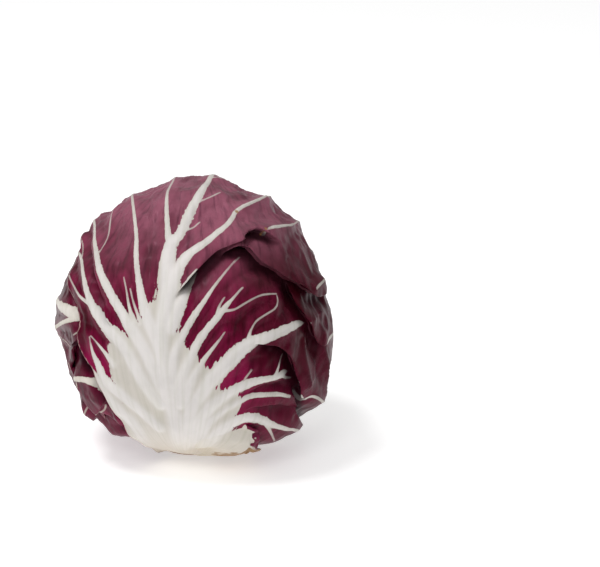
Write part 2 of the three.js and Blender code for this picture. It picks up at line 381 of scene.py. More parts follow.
def fan_of_ribs(leaf, seed, width=1.0, pairs=6):
    """The ribs of a hidden leaf: a broad midrib from the stalk to the tip, slightly bent, and side
    ribs that spread from its lower half towards the tip, each with a thin fork or two."""
    chance = np.random.default_rng(seed)
    base, tip = -(90 + leaf.elevation) + 12, leaf.outline(90.0) + 4
    length = tip - base

    def on_midrib(share):
        return MIDRIB_BEND * math.sin(math.pi * share), base + length * share

    drawn = [[(*on_midrib(share), width * half) for share, half in MIDRIB]]
    for side in (-1, 1):
        for pair in range(pairs):
            u, v = on_midrib(0.02 + 0.095 * pair + chance.uniform(-0.015, 0.015))
            angle = SIDE_RIB_ANGLE - 8 * pair + chance.uniform(-5, 5)
            total = length * (0.8 - 0.075 * pair)
            rib = []
            for share in np.linspace(0, 1, SIDE_RIB_PARTS + 1):
                rib.append((u, v, width * max(0.55, (3.6 - 0.32 * pair) * (1 - share) ** 1.5)))
                across, along = turned(angle - SIDE_RIB_CURL * share)
                u += side * along * total / SIDE_RIB_PARTS
                v += across * total / SIDE_RIB_PARTS
            drawn.append(rib)
            for fork in range(2):
                start = chance.integers(2, 5)
                u0, v0 = rib[start][:2]
                dart = chance.choice([-1, 1]) * chance.uniform(22, 36)
                across, along = turned(angle - SIDE_RIB_CURL * start / SIDE_RIB_PARTS + dart)
                size = length * chance.uniform(0.12, 0.24)
                drawn.append([(u0, v0, 0.8), (u0 + side * along * size / 2, v0 + across * size / 2, 0.6),
                              (u0 + side * along * size * 1.02, v0 + across * size * 1.05, 0.3)])
    ribs = []
    for rib in drawn:
        u, v, half = np.array(rib).T
        way = leaf.toward(np.hypot(u, v), np.degrees(np.arctan2(v, u)))
        ribs.append(smooth_line(np.column_stack([way * HEAD_RADIUS, half]), 5.0))
    return ribs


def leaf_marks(leaf, directions, ribs, plates=(), root=(0, 0, -1)):
    """The marks a leaf's skin is coloured by, and the ridge of its ribs, which dies out at the root.
    fan is the place in the fan that opens from the root: an angle in radians and a distance in mm."""
    gap, run, half, ridge = rib_marks(directions, ribs, plates)
    root = np.array(root, float)
    root /= np.linalg.norm(root)
    side = np.cross(root, [0, -1, 0.01])
    side /= np.linalg.norm(side)
    distance = np.arccos(np.clip(directions @ root, -1, 1)) * HEAD_RADIUS
    angle = np.arctan2(directions @ side, directions @ np.cross(side, root))
    ridge = ridge * (0.1 + 0.9 * soft_step(8, 34, distance))
    fan = np.stack([angle, distance, np.zeros_like(angle)], -1)
    return {"rib_gap": gap, "rib_run": run, "rib_half": half, "margin": leaf.margin(directions), "fan": fan,
            "crest": np.clip(ridge / 1.1, 0, 1)}, ridge


MARGIN_THICKNESS = 0.4
BLADE_THICKNESS = 0.75
COARSER = 3  # times the cells of the outer face that one of the under face is wide


def leaf_mesh(name, directions, height, rib_half, marks, node, slot, material, middle=MIDDLE, beds=None):
    """A closed leaf: a fine outer face at the given height, and an under face a third as fine, which
    lies under the lowest of the outer face near it. The two meet in a rim along the margin. beds are
    the directions of the under face, where the outer one is folded and the under one isn't."""
    count = directions.shape[0] - 1
    top = middle + directions * height[..., None]
    low = height
    for axis in (0, 1):
        low = np.min([np.roll(low, step, axis) for step in range(-COARSER, COARSER + 1)], axis=0)
    flesh = BLADE_THICKNESS + 0.5 * np.clip(rib_half, 0, 3)
    thick = MARGIN_THICKNESS + (flesh - MARGIN_THICKNESS) * soft_step(0.5, 7, marks["margin"])
    edge = soft_step(0, 3, marks["margin"])
    beneath = (height * (1 - edge) + low * edge) - thick
    under = (middle + (directions if beds is None else beds) * beneath[..., None])[::COARSER, ::COARSER]
    grid = np.arange((count + 1) ** 2).reshape(count + 1, -1)
    back = np.arange((count // COARSER + 1) ** 2).reshape(count // COARSER + 1, -1) + grid.size

    def squares(grid, turn):
        corners = [grid[:-1, :-1], grid[:-1, 1:], grid[1:, 1:], grid[1:, :-1]]
        return np.stack([c.ravel() for c in (corners[::-1] if turn else corners)], 1).tolist()

    half = count // 2
    facing = np.cross(top[half, half + 1] - top[half, half], top[half + 1, half] - top[half, half])
    turn = facing @ directions[half, half] < 0
    faces = squares(grid, turn) + squares(back, not turn)
    for fine, rough in ((grid[0, :], back[0, :]), (grid[:, -1], back[:, -1]),
                        (grid[-1, ::-1], back[-1, ::-1]), (grid[::-1, 0], back[::-1, 0])):
        for i in range(count // COARSER):
            rim = [rough[i], rough[i + 1], *fine[COARSER * i:COARSER * i + COARSER + 1][::-1]]
            faces.append([int(corner) for corner in (rim[::-1] if turn else rim)])

    def both(*parts):
        return np.concatenate([part.reshape((-1,) + part.shape[2:]) for part in parts])

    piece(name, both(top, under), faces, node, slot, material,
          {mark: both(values, values[::COARSER, ::COARSER]) for mark, values in marks.items()})


def effect(name, inputs, outputs):
    """A shader node group with named inputs, each with its start value, and named outputs."""
    group = bpy.data.node_groups.new(name, "ShaderNodeTree")
    for socket, start in inputs.items():
        kind = "Float" if isinstance(start, float) else {3: "Vector", 4: "Color"}[len(start)]
        made = group.interface.new_socket(socket, in_out="INPUT", socket_type="NodeSocket" + kind)
        made.default_value = start
    for socket, kind in outputs.items():
        group.interface.new_socket(socket, in_out="OUTPUT", socket_type="NodeSocket" + kind)
    return group, group.nodes.new("NodeGroupInput").outputs, group.nodes.new("NodeGroupOutput").inputs


# Where white rib flesh gives way to red blade: a crisp, frayed edge with small teeth that point
# away from the stalk.
rib_edge, given, wanted = effect(
    "rib_edge", {"Gap": 1.0, "Run": 0.0, "Half Width": 1.0, "Fan": (0, 0, 0), "Place": (0, 0, 0)},
    {"Flesh": "Float", "Fringe": "Float"})
tree = rib_edge
gap, half, fan, place = given["Gap"], given["Half Width"], given["Fan"], given["Place"]
lick = noise(stretched(fan, (34, 0.11, 0)), 1, 3, 0.6)
slant = maths("MULTIPLY_ADD", gap, -0.9, given["Run"])
teeth = put(tree, "CombineXYZ", {0: times(slant, 0.42), 1: times(gap, 0.22), 2: half}).outputs[0]
fray = noise(teeth, 0.8, 3, 0.6)
wander = noise(place, 0.75, 3, 0.6)
shake = plus(times(maths("SUBTRACT", fray, 0.5), 1.5), times(maths("SUBTRACT", wander, 0.5), 0.7))
edge = maths("MULTIPLY_ADD", shake, ramp(half, 0.3, 3, 0.16, 1.5), gap)
edge = plus(edge, times(maths("SUBTRACT", lick, 0.5), ramp(half, 2, 7, 0, 9)))
thin = ramp(half, 0.3, 0.75, 0.62, 1)  # fine veins are thinly fleshed and pinker
feed(times(ramp(edge, -0.16, 0.16, 1, 0), thin), wanted["Flesh"])
feed(ramp(edge, 0, 5, 1, 0), wanted["Fringe"])

# The flesh of a rib: white, creamier towards the root, with faint long fibres, a grey bloom,
# and painted shade with a greenish tint in the grooves between its ridges.
rib_flesh, given, wanted = effect(
    "rib_flesh", {"Fan": (0, 0, 0), "Place": (0, 0, 0), "Crest": 1.0, "White": (0.8, 0.8, 0.8, 1),
                  "Cream": (0.7, 0.65, 0.5, 1)}, {"Colour": "Color", "Relief": "Float"})
fan, place = given["Fan"], given["Place"]
from_root = split(fan)[1]
fibre = noise(stretched(fan, (30, 0.03, 0)), 1, 3, 0.45)
bloom = noise(place, 0.11, 3)
speck = noise(place, 2.2, 2)
colour = blended(ramp(from_root, 4, 42, 1, 0), given["White"], given["Cream"])
# Painted shade, partly a greenish tint: the white flesh darkened in the grooves between the ridges.
groove_shade = times(ramp(given["Crest"], 0.05, 0.85, 0.75, 0), ramp(from_root, 15, 45))
for share, shade in ((ramp(fibre, 0.4, 0.75, 0, 0.45), (0.80, 0.82, 0.74, 1)),
                     (ramp(bloom, 0.4, 0.75, 0, 0.35), (0.80, 0.80, 0.80, 1)),
                     (groove_shade, (0.77, 0.75, 0.68, 1))):
    colour = blended(share, colour, shade, "MULTIPLY")
feed(colour, wanted["Colour"])
feed(maths("MULTIPLY_ADD", speck, 0.1, times(fibre, 0.35)), wanted["Relief"])

# The blade: deep red skin, brighter and pinker beside the ribs, clouded, with a painted sheen that turns it
# pale mauve towards the crown, painted shade that deepens it towards the right, and crossed by a net of fine
# veins.
blade_skin, given, wanted = effect(
    "blade_skin", {"Fringe": 0.0, "Fan": (0, 0, 0), "Place": (0, 0, 0), "Deep": (0.07, 0.01, 0.02, 1),
                   "Bright": (0.16, 0.01, 0.05, 1)}, {"Colour": "Color", "Relief": "Float"})
tree = blade_skin
fan, place = given["Fan"], given["Place"]
from_root = split(fan)[1]
aside, _, level = split(place)
streak = noise(stretched(fan, (22, 0.06, 0)), 1, 5, 0.6)
cloud = noise(place, 0.06, 3)
bent = put(tree, "TexNoise", {"Vector": place, "Scale": 0.35, "Detail": 2.0}).outputs["Color"]
net_at = put(tree, "VectorMath", {0: bent, 1: (2.4, 2.4, 2.4), 2: place}, operation="MULTIPLY_ADD")
cells = put(tree, "TexVoronoi", {"Vector": net_at.outputs[0], "Scale": 0.3}, feature="DISTANCE_TO_EDGE")
net = ramp(cells.outputs["Distance"], 0, 0.05, 1, 0)
net = times(net, ramp(cloud, 0.42, 0.6))
bright = times(given["Fringe"], 0.3)
for more in (ramp(cloud, 0.4, 0.65, 0, 0.3), ramp(streak, 0.4, 0.75, 0, 0.25),
             ramp(from_root, 45, 95, 0.45, 0)):
    bright = plus(bright, more)
# Painted shade: the blade is painted deeper towards the right, the side turned away from the lights.
bright = times(bright, ramp(aside, 14, 40, 1, 0.3))
colour = blended(maths("MINIMUM", bright, 1), given["Deep"], given["Bright"])
# Painted sheen: the blade is painted paler mauve towards the crown, where the light from above glances off
# it.
crown = times(ramp(level, 82, 122, 0, 0.78), ramp(cloud, 0.3, 0.6, 0.5, 1))
colour = blended(crown, colour, (0.35, 0.125, 0.18, 1))
colour = blended(ramp(streak, 0.32, 0.5, 0.6, 0), colour, (0.42, 0.36, 0.42, 1), "MULTIPLY")
colour = blended(times(net, 0.25), colour, (0.17, 0.03, 0.06, 1))
feed(colour, wanted["Colour"])
relief = maths("MULTIPLY_ADD", net, 0.12, times(streak, 0.8))
feed(maths("MULTIPLY_ADD", cloud, 0.6, relief), wanted["Relief"])

# Wear and painted shade: a pale dry line along the margin, painted shade that turns the blade near black
# where a fold shuts it in, tan bruises, and leaf bases darker and browner close to the table, partly dried
# and partly painted shade.
leaf_wear_and_shade, given, wanted = effect(
    "leaf_wear_and_shade", {"Colour": (0.1, 0.01, 0.02, 1), "Place": (0, 0, 0), "Margin": 9.0, "Painted Shade": 0.0,
                  "Bruise": 0.0, "Rim": 0.5}, {"Colour": "Color"})
place = given["Place"]
nibble = noise(place, 0.5, 3)
ragged = maths("MULTIPLY_ADD", nibble, -1.3, plus(given["Margin"], 0.65))
browned = maths("MULTIPLY_ADD", nibble, 0.8, given["Bruise"])
dried_and_shaded = maths("MULTIPLY_ADD", nibble, -3, split(place)[2])
colour = given["Colour"]
for share, shade in ((ramp(ragged, 0.1, 0.5, given["Rim"], 0), (206, 168, 164)),
                     # Painted shade: the blade darkened to near black under the laps and in the shade spots.
                     (ramp(given["Painted Shade"], 0.6, 3.6, 0, 0.88), (26, 6, 11)),
                     (ramp(browned, 0.75, 1.1, 0, 0.85), (150, 112, 66)),
                     # Darker and browner near the table: partly dried leaf bases, partly painted shade.
                     (ramp(dried_and_shaded, 0.5, 5.5, 0.85, 0), (112, 84, 60))):
    colour = blended(share, colour, tone(*shade))
feed(colour, wanted["Colour"])


def leaf_finish(name, deep, bright, white, cream, rim=0.55, roughness=0.36):
    """The skin of one kind of leaf: rib flesh over blade. The four colours are given as for tone."""
    material, tree, shader = finish(name, Roughness=roughness, Specular_IOR_Level=0.13,
                                    Specular_Tint=(0.85, 0.5, 0.62, 1.0))
    gap, run, half, margin, crest, painted_shade, bruise = [
        put(tree, "Attribute", attribute_name=mark).outputs["Fac"]
        for mark in ("rib_gap", "rib_run", "rib_half", "margin", "crest", "painted_shade", "bruise")]
    at = {"Fan": put(tree, "Attribute", attribute_name="fan").outputs["Vector"],
          "Place": stretched(put(tree, "TexCoord").outputs["Object"], (1000, 1000, 1000))}
    edge = put(tree, "Group", {"Gap": gap, "Run": run, "Half Width": half, **at}, node_tree=rib_edge).outputs
    flesh = put(tree, "Group", {"Crest": crest, "White": tone(*white), "Cream": tone(*cream), **at},
                node_tree=rib_flesh).outputs
    blade = put(tree, "Group", {"Fringe": edge["Fringe"], "Deep": tone(*deep), "Bright": tone(*bright), **at},
                node_tree=blade_skin).outputs
    colour = blended(edge["Flesh"], blade["Colour"], flesh["Colour"])
    worn = {"Colour": colour, "Place": at["Place"], "Margin": margin, "Painted Shade": painted_shade, "Bruise": bruise,
            "Rim": rim}
    wear_and_shade = put(tree, "Group", worn, node_tree=leaf_wear_and_shade)
    feed(wear_and_shade.outputs["Colour"], shader.inputs["Base Color"])
    relief = put(tree, "Mix", {0: edge["Flesh"], 2: blade["Relief"], 3: flesh["Relief"]})
    bump = put(tree, "Bump", {"Height": relief.outputs[0], "Strength": 0.55, "Distance": 0.00035})
    feed(bump.outputs[0], shader.inputs["Normal"])
    matt = ramp(edge["Flesh"], 0, 1, roughness, roughness + 0.06)
    feed(matt, shader.inputs["Roughness"])
    return material


GOLDEN_ANGLE = 137.5  # degrees from each leaf to the next round the stalk
INNER_OUTLINE = [(0, 82), (45, 92), (90, 104), (135, 92), (180, 82), (225, 74), (270, 97), (315, 74)]
OUTER_COUNT = 8
INNER_COUNT = 9
# How much lower each leaf starts and ends than the one over it, in mm.
OUTER_BASE_PITCH = 2.6
OUTER_CROWN_PITCH = 1.8
INNER_BASE_PITCH = 1.7
INNER_CROWN_PITCH = 5.2
INNER_CELLS = 48
inner_finish = leaf_finish("inner_leaf_skin", (122, 34, 70), (160, 62, 98), (232, 226, 214),
                           (236, 226, 190), rim=0.3, roughness=0.48)


def inner_layer(number):
    """How much smaller an inner layer is than the head, and where its middle is."""
    bottom = HEAD_BOTTOM + OUTER_COUNT * OUTER_BASE_PITCH + number * INNER_BASE_PITCH
    top = HEAD_TOP - OUTER_COUNT * OUTER_CROWN_PITCH - number * INNER_CROWN_PITCH
    size = (top - bottom) / (HEAD_TOP - HEAD_BOTTOM)
    return size, np.array([0, 0, bottom + (top - bottom) * WAIST_SHARE])


for number in range(INNER_COUNT):
    size, middle = inner_layer(number)
    leaf = Leaf(GOLDEN_ANGLE * (number + OUTER_COUNT), 10, INNER_OUTLINE, 0.8, 40 + number)
    directions = leaf.spread(INNER_CELLS)
    marks, ridge = leaf_marks(leaf, directions, fan_of_ribs(leaf, 60 + number, 1.1, 4))
    uneven = 0.5 * ridge + 0.35 * grain(directions * 60, 14, 80 + number)
    marks["margin"] *= size
    name = f"inner_leaf_{number + 1}"
    leaf_mesh(name + "_blade", directions, head_skin(directions) * size + size * uneven,
              marks["rib_half"] * 0.3, marks, name, "inner_leaf_red", inner_finish, middle)

# The bud is one closed ball of the smallest leaves, seamed where they overlap.
size, middle = inner_layer(INNER_COUNT)
directions = Leaf(0, 89.9, [(0, 168), (180, 168)], 0.0, 1).spread(INNER_CELLS)
turn = np.arctan2(directions[..., 1], directions[..., 0])
level = directions[..., 2]
seam = np.abs(((turn * 3 / (2 * math.pi) + 0.35 * level) % 1) - 0.5) * 2
height = (head_skin(directions) + 2.5 * soft_step(0, 0.35, seam) - 2) * size
marks = {"rib_gap": 6 * level - 1, "rib_run": turn * 8, "rib_half": np.ones_like(turn),
         "margin": np.full_like(turn, 9.0), "crest": np.ones_like(turn),
         "fan": np.stack([turn, 30 * (1 + level), turn * 0], -1)}
leaf_mesh("heart_of_leaves", directions, height, turn * 0, marks, "heart_bud", "inner_leaf_red", inner_finish,
          middle)

# ==== The leaves behind and beside ====
# The outer wrapping: eight big leaves that each clasp more than half the head. These are the ones
# that mostly lie under their neighbours and show at the back and the sides.
EVEN_BEARINGS = (0, 30, 60, 90, 120, 150, 180, 215, 245, 270, 295, 330)


def even(*reaches):
    """The outline of a leaf whose margin is mostly hidden."""
    return list(zip(EVEN_BEARINGS, reaches))


# Name, azimuth and elevation of the middle, outline. Listed as they lap, from the outside in.
LAPS = [
    ("front_wrapper_leaf", 0, 18,
     [(0, 110), (30, 112), (60, 108), (90, 108), (120, 102), (134, 88), (144, 79), (152, 74),
      (163, 66.8), (172.6, 60.7), (180, 55.5), (185.4, 53.4), (193, 58.5), (201, 55), (209.5, 51.2),
      (220.5, 54), (231, 57), (245, 67.5), (250, 75), (258, 92), (270, 95), (286, 97), (300, 101),
      (330, 106)]),
    ("right_wrapper_leaf", 137, 6, even(90, 94, 96, 104, 96, 92, 88, 78, 86, 84, 84, 80)),
    ("left_wrapper_leaf", -84, 4,
     [(2, 33), (10, 48), (30, 80), (60, 92), (90, 100), (120, 98), (150, 92), (180, 86), (215, 78), (245, 84),
      (270, 80), (284, 54), (297, 34), (312, 29), (330, 27), (345, 28.5)]),
    ("left_front_leaf", -42, 2, even(72, 80, 90, 98, 94, 86, 78, 72, 80, 80, 80, 70)),
    ("right_front_leaf", 55, 6, even(84, 88, 96, 106, 96, 86, 80, 74, 82, 84, 82, 78)),
    ("back_leaf", 190, 8, even(82, 90, 98, 108, 98, 90, 82, 74, 84, 86, 84, 74)),
    ("back_right_leaf", 104, 8, even(80, 86, 94, 104, 96, 88, 80, 72, 84, 86, 84, 72)),
    ("back_left_leaf", -125, 8, even(80, 86, 94, 104, 96, 88, 80, 72, 84, 86, 84, 72)),
]
wrapping = {}
for order, (name, azimuth, elevation, outline) in enumerate(LAPS):
    ruffle = 0.55 if name == "front_wrapper_leaf" else 1.1
    wrapping[name] = Leaf(azimuth, elevation, outline, ruffle, 20 + order)
LAP_DROP = 2.3  # mm that a leaf lies lower for each leaf over it
FRONT_DROP = 7.0  # and further still well inside the front leaf, whose folds press it in
DEEPEST_SAG = -1.9  # mm; the leaf beneath holds a blade up past this


def tucked(name, directions, onset=3.0, full=15.0):
    """How far a leaf lies under the head's outside, in mm, because of the leaves over it. onset and
    full are degrees inside the front leaf's margin between which it sinks away under its folds."""
    drop = np.zeros(directions.shape[:-1])
    for over, leaf in wrapping.items():
        if over == name:
            break
        inside = leaf.inside(directions)
        drop += LAP_DROP * soft_step(-4, 2.5, inside)
        if over == "front_wrapper_leaf":
            drop += FRONT_DROP * soft_step(onset, full, inside)
    return drop


def uncovered(drop):
    """How much of its own relief a leaf keeps where it lies so far under other leaves."""
    return 1 - 0.85 * np.clip(drop / LAP_DROP, 0, 1)


def wrapper_relief(directions, marks, ridge, seed, wave=0.7, sag=1.4, crease=0.7):
    """Sag between the ribs, long waves, sharp creases and pleats along the ribs, in mm."""
    spots = directions * HEAD_RADIUS
    gap, fan = np.maximum(marks["rib_gap"], 0), marks["fan"]
    blade = soft_step(0, 5, gap)
    open_fan = soft_step(12, 40, fan[..., 1])
    pleated = np.stack([fan[..., 0] * 38, fan[..., 1] * 0.09, fan[..., 0] * 0], -1)
    pleats = 0.2 * grain(pleated, 6, seed + 1)
    pleats += 0.16 * blade * (1 - 2 * np.abs(grain(pleated, 3.6, seed + 5)))
    creases = 1 - 2 * np.abs(grain(spots, 30, seed + 6)) + 0.5 * (1 - 2 * np.abs(grain(spots, 13, seed + 7)))
    relief = (ridge - sag * (1 - np.exp(-(gap / 6) ** 1.5)) + wave * grain(spots, 34, seed + 2)
              + blade * (0.5 * crease * creases + 0.1 * grain(spots, 4.2, seed + 4) + pleats * open_fan))
    return np.maximum(relief, DEEPEST_SAG)


leaf_red = leaf_finish("wrapper_leaf_skin", (56, 9, 19), (112, 16, 54), (220, 214, 206), (226, 214, 190))
WRAPPER_CELLS = 150
RIGHT_CELLS = 210
for order, (name, leaf) in enumerate(wrapping.items()):
    if name in ("front_wrapper_leaf", "left_wrapper_leaf", "left_front_leaf"):
        continue
    directions = leaf.spread(RIGHT_CELLS if name == "right_wrapper_leaf" else WRAPPER_CELLS)
    marks, ridge = leaf_marks(leaf, directions, fan_of_ribs(leaf, 100 + order))
    drop = tucked(name, directions)
    relief = wrapper_relief(directions, marks, ridge, 200 + 10 * order)
    height = head_skin(directions) - drop + relief * uncovered(drop)
    leaf_mesh(name + "_blade", directions, height, marks["rib_half"], marks, name, "leaf_red", leaf_red)

# ==== The two leaves on the left ====
# The left wrapper swells out beside the front leaf, with a broad forked rib, and ends above the
# crumpled lower one, whose margin is folded back over itself down to the table.
FRONT = wrapping["front_wrapper_leaf"]
SEEN_SHARE = 0.97  # of the head's breadth, past which a place counts as behind its edge
BEHIND = 235  # degrees round to the back for each whole share past that
LINE_STEP = 2.2  # mm between the points of a line on the front
FRONT_VIEW = 1200.0  # mm from the head's middle that the front is looked at from, a little from above
FOLD_REACH = 26.0  # mm from a fold line that the fold still moves the blade


def on_front(across, up):
    """Directions of places on the front, from mm across and up as seen from a little above. Places
    wider than the head lie round behind its edge."""
    wide, bearing = np.hypot(across, up), np.degrees(np.arctan2(up, across))
    reach = np.full_like(wide, 30.0)
    for turn in range(8):
        size = head_skin(FRONT.toward(reach, bearing))
        share = wide / size * (FRONT_VIEW - size * np.cos(np.radians(reach))) / FRONT_VIEW
        seen = np.degrees(np.arcsin(np.minimum(share, SEEN_SHARE)))
        reach = 0.4 * reach + 0.6 * (seen + np.maximum(share - SEEN_SHARE, 0) * BEHIND)
    return FRONT.toward(reach, bearing)


def front_line(corners):
    """A line on the front from (across, up) corners; a third number, if any, follows along."""
    corners = np.array(corners, float)
    way = on_front(corners[:, 0], corners[:, 1]) * HEAD_RADIUS
    extra = corners[:, 2:] if corners.shape[1] > 2 else np.zeros((len(corners), 1))
    return smooth_line(np.column_stack([way, extra]), LINE_STEP)


def humps(directions, spots):
    """The rise in mm made by swellings and hollows: mm across and up, breadth and rise of each."""
    across, up, breadth, tall = np.array(spots, float).T
    rise = np.zeros(directions.shape[:-1])
    for middle, wide, high in zip(on_front(across, up), breadth, tall):
        rise += high * np.exp((directions @ middle - 1) * 2 * (HEAD_RADIUS / wide) ** 2)
    return rise


def fold_frame(spots, line):
    """The spots near a fold line: which they are, how far above it each is, the way up, how far along
    it, the line's length, and how far past its end each is."""
    near = np.flatnonzero(((spots[:, None, :] - line[None, ::4, :3]) ** 2).sum(-1).min(1) < FOLD_REACH ** 2)
    spots = spots[near]
    part, share, _, here, length = nearest(spots, line)
    step = np.diff(line[:, :3], axis=0)
    along = unit(step[part])
    away = spots - (line[part, :3] + share[:, None] * step[part])
    upward = unit(np.cross(unit(spots), along))
    return near, (away * upward).sum(1), upward, here, length, np.abs((away * along).sum(1))


def gathered(directions, line, width):
    """Draws the grid in towards a fold line, so that the fold is finely made."""
    spots = directions.reshape(-1, 3) * HEAD_RADIUS
    near, signed, upward, _, _, past = fold_frame(spots, line)
    pull = 0.5 * signed * np.exp(-(signed / (4.5 * width)) ** 2 - (past / 5) ** 2)
    spots[near] -= upward * pull[:, None]
    return unit(spots).reshape(directions.shape)


def lapped(directions, height, line, width, over, lift, drop, side):
    """Folds the blade along a line: the upper side rides over the lower, with a turn-under between."""
    spots = directions.reshape(-1, 3) * HEAD_RADIUS
    near, signed, upward, here, length, _ = fold_frame(spots, line)
    signed, upward = signed * side, upward * side
    strength = soft_step(0, 11, here) * soft_step(0, 7, length - here)
    u = signed / width
    slide = over * u * np.exp(0.5 - 0.5 * u * u)
    spots[near] -= upward * (slide * strength)[:, None]
    near_line = np.exp(-(signed / (5 * width)) ** 2)
    tall = height.ravel().copy()
    tall[near] += np.where(signed > 0, lift, -drop) * near_line * np.abs(np.tanh(1.6 * u)) * strength
    return unit(spots).reshape(directions.shape), tall.reshape(height.shape)


def folded(leaf, cells, squeeze, laps):
    """The grid of a leaf before and after its laps are folded in, and the height they add."""
    rest = leaf.spread(cells, squeeze)
    lines = [front_line(lap[0]) for lap in laps]
    for line, lap in zip(lines, laps):
        rest = gathered(rest, line, lap[1])
    directions, height = rest, np.zeros(rest.shape[:-1])
    for line, lap in zip(lines, laps):
        directions, height = lapped(directions, height, line, *lap[1:])
    return rest, directions, height


# Painted shade: spots darkened between the folds of the two leaves.
LEFT_SHADE_SPOTS = [(-52, -14.6, 3.4, 3.5), (-50.4, -19.6, 4, 3.6), (-47.4, -24, 3, 2.6), (-37, -47, 3, 1.8),
                (-31, -54, 3.5, 2.2), (-50, -38, 2, 1.5), (-43.6, -31, 4, 1.7), (-40.6, -36.5, 3.4, 2.3),
                (-37.4, -42, 3.2, 2.6)]


def left_leaf(name, cells, squeeze, seed, tuck, ribs, laps, swellings):
    """One of the two leaves, sunk under the front leaf's margin, with painted shade along it and under its
    laps.
    """
    leaf = wrapping[name]
    rest, directions, lap = folded(leaf, cells, squeeze, laps)
    marks, ridge = leaf_marks(leaf, directions, [front_line(rib) for rib in ribs])
    marks["margin"] = leaf.margin(rest)
    # Painted shade along the front leaf's margin and under the laps, where the blade is painted near black.
    shade_beside_front = 2 * soft_step(-4.5, -0.5, FRONT.inside(rest))
    marks["painted_shade"] = np.maximum(-lap, shade_beside_front) + humps(rest, LEFT_SHADE_SPOTS)
    drop = tucked(name, rest, *tuck)
    relief = wrapper_relief(directions, marks, ridge, seed) * uncovered(drop)
    height = head_skin(rest) - drop + lap + relief + humps(rest, swellings)
    leaf_mesh(name + "_blade", directions, height, marks["rib_half"], marks, name, "leaf_red", leaf_red,
              beds=rest)


# Ribs as corners in mm across and up, and the half width there. Laps as the line of each fold in mm
# across and up, how wide it is, how far the upper side rides over the lower, how high it stands, how
# deep the lower side lies, and which side of the line is upper.
LEFT_RIBS = [
    [(-40, -12, 2.4), (-47, -4.6, 2.4), (-51.5, -0.6, 2.4), (-55.5, 2.2, 2.8), (-58.6, 4.6, 2.2),
     (-61, 7.6, 1.3), (-66, 14, 1), (-72, 24, 0.8), (-80, 34, 0.4)],
    [(-53, -0.6, 1.6), (-57, -2.2, 1), (-61, -5, 0.8), (-65, -9, 0.7), (-72, -11, 0.4)],
    [(-54.8, -23, 0.4), (-56.2, -18.6, 0.7), (-58, -12.5, 0.4), (-61, -8, 0.2)],
    [(-50, -5.6, 0.3), (-52.4, -7, 0.3), (-54.4, -8.6, 0.15)],
]
LEFT_LAPS = [
    ([(-47, 2), (-50, -4.6), (-52, -9), (-54, -15), (-55.6, -21), (-57, -28)], 1.6, 1.4, 1, 1.8, 1),
]
left_leaf("left_wrapper_leaf", 210, 0.0, 311, (-5, 3), LEFT_RIBS, LEFT_LAPS,
          [(-62, 1, 10, 5), (-57, -17, 8, -1.5), (-52, -2, 6, -1.5), (-50, 12, 6, -1.5)])

LOW_LEFT_RIBS = [
    # The pale flesh beside the front leaf's margin, and the rib that crosses to the left.
    [(-28, -54, 1), (-34, -46.6, 1.2), (-37.6, -40, 1.4), (-39.8, -35.6, 1.7), (-42.6, -31.6, 1.8),
     (-46.6, -28.6, 1.4), (-50.6, -27.6, 1.2), (-53.8, -27.6, 0.9), (-60, -27, 0.3)],
    # Thin pale lines round the folds.
    [(-51.2, -29.6, 0.6), (-50.6, -33, 0.35), (-48.6, -37, 0.3), (-46.4, -40.6, 0.3), (-43.4, -43.4, 0.5),
     (-41, -43, 0.4), (-40, -40.6, 0.3)],
    [(-47.5, -40, 0.3), (-47.2, -44, 0.2), (-45.4, -47.6, 0.12)],
]
LOW_LEFT_LAPS = [
    ([(-56, -22), (-53, -27.6), (-50.6, -32), (-48.6, -36.4), (-45.8, -40.6), (-42, -43.8), (-37.4, -47),
      (-32, -51.6), (-28, -56)], 1.6, 1.7, 1.4, 2.6, 1),
    ([(-40, -34), (-40.2, -38.6), (-42.4, -42.6), (-44.4, -46), (-45, -50)], 1.2, 1, 0.6, 1.2, -1),
]
left_leaf("left_front_leaf", 240, 0.1, 221, (-8, 2), LOW_LEFT_RIBS, LOW_LEFT_LAPS,
          [(-49, -41, 7, 3.2), (-36, -53, 6, 2.4), (-54, -32, 5, -1), (-43, -36, 5, 1.4),
           (-46, -18, 7, -3), (-38, -44, 5, -1.6), (-30, -51, 5, -1.6)])

